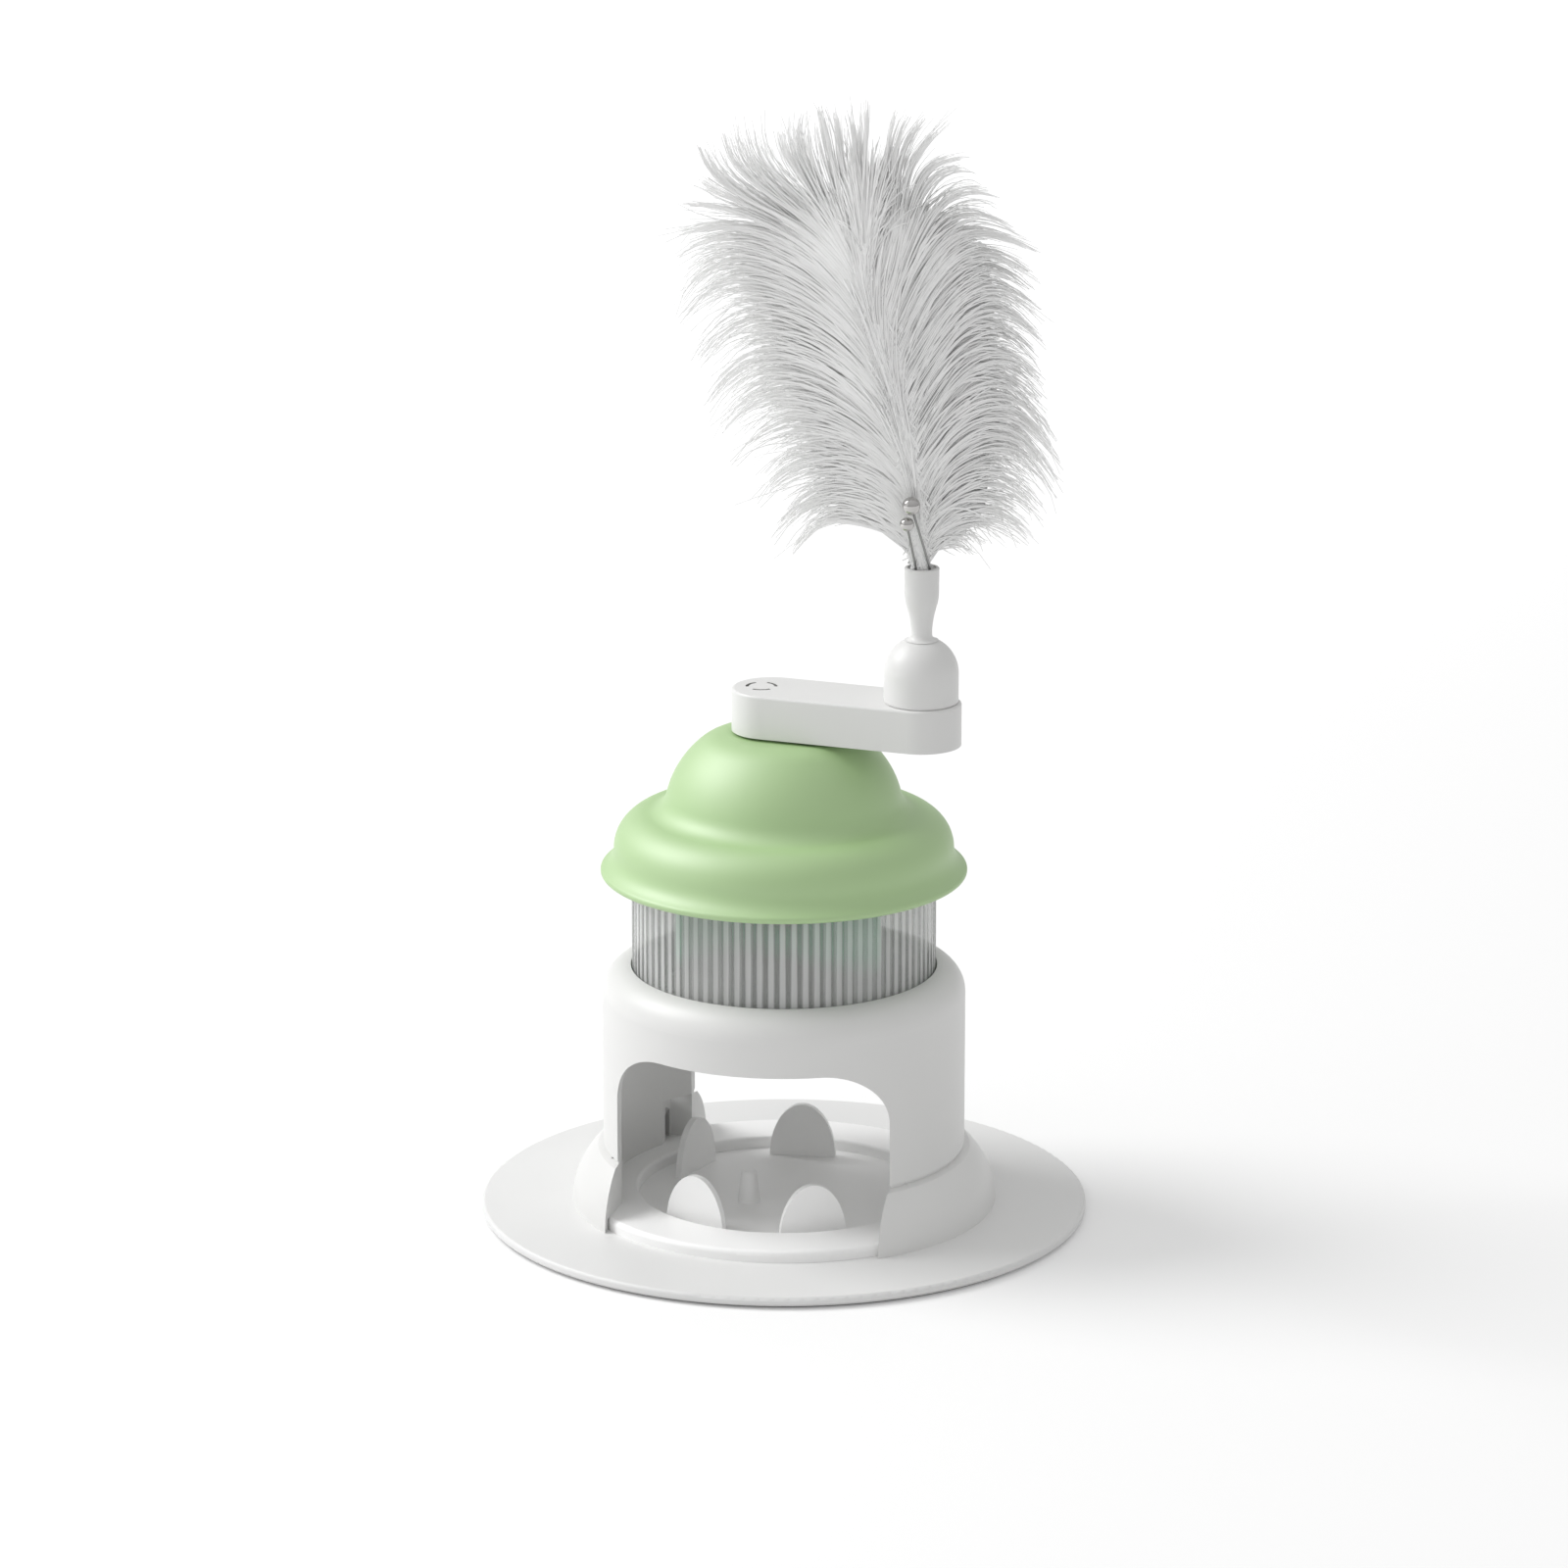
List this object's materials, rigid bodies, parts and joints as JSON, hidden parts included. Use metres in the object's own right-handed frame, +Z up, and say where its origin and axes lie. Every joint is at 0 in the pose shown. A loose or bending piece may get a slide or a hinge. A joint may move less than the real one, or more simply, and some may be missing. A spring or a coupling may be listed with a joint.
{
  "type": "cat treat dispenser toy",
  "caption": "Round treat dispenser: batting the plume turns a crank arm on a domed lid, and a rotor in the clear drum drops treats into a dish under a windowed housing.",
  "frame": {"origin": "on the floor, under the middle of the base disc", "axes": "+Z up along the axis of drum, lid and rotor; the housing's window looks along -Y and +Y, and the crank arm points along +X, 5 degrees towards -Y"},
  "size_m": [0.18, 0.18, 0.3395],
  "materials": {
    "white_disc": "satin",
    "grip_rubber": "matt",
    "white_dish": "satin",
    "screw_steel": "satin",
    "white_housing": "satin",
    "white_inner": "satin",
    "clear_drum": "clear, glossy",
    "mint_rotor": "glossy",
    "green_lid": "satin",
    "seal_rubber": "matt",
    "white_arm": "satin",
    "plume_stalk": "matt",
    "plume_white": "soft",
    "bell_chrome": "polished",
    "wire_steel": "bare"
  },
  "bodies": {
    "base": {"base_plate": "white_disc", "non_slip_ring": "grip_rubber", "treat_tray": "white_dish", "tray_petals": "white_dish", "base_screws": "screw_steel", "housing": "white_housing", "drop_floor": "white_inner", "food_drum": "clear_drum", "drum_screws": "screw_steel", "rotor_washer": "white_inner"},
    "rotor": {"dispensing_rotor": "mint_rotor"},
    "lid": {"dome_lid": "green_lid", "lid_seal": "seal_rubber", "shaft_bush": "white_inner"},
    "crank": {"crank_arm": "white_arm", "arm_bottom_cover": "white_arm", "arm_screws": "screw_steel", "drive_shaft": "white_inner", "shaft_clip": "screw_steel", "knob_stud": "white_inner", "knob_screw": "screw_steel"},
    "knob": {"handle_knob": "white_arm", "feather_cup": "white_arm"},
    "feather": {"feather_quill": "plume_stalk", "feather_plume": "plume_white", "bells": "bell_chrome", "bell_wires": "wire_steel"}
  },
  "joints": [
    {"name": "lid_lift", "type": "slide", "parent": "base", "child": "lid", "axis": [0, 0, 1], "range_m": [0, 0.06]},
    {"name": "crank_spin", "type": "hinge", "parent": "lid", "child": "crank", "pos_m": [0, 0, 0.147], "axis": [0, 0, 1], "continuous": true},
    {"name": "rotor_spin", "type": "hinge", "parent": "base", "child": "rotor", "pos_m": [0, 0, 0.068], "axis": [0, 0, 1], "continuous": true},
    {"name": "knob_swivel", "type": "hinge", "parent": "crank", "child": "knob", "pos_m": [0.04234, -0.0037, 0.16], "axis": [0, 0, 1], "continuous": true},
    {"name": "feather_pull", "type": "slide", "parent": "knob", "child": "feather", "axis": [0, 0, 1], "range_m": [0, 0.028]}
  ],
  "couplings": [
    {"joint": "rotor_spin", "follows": "crank_spin", "ratio": 1}
  ]
}
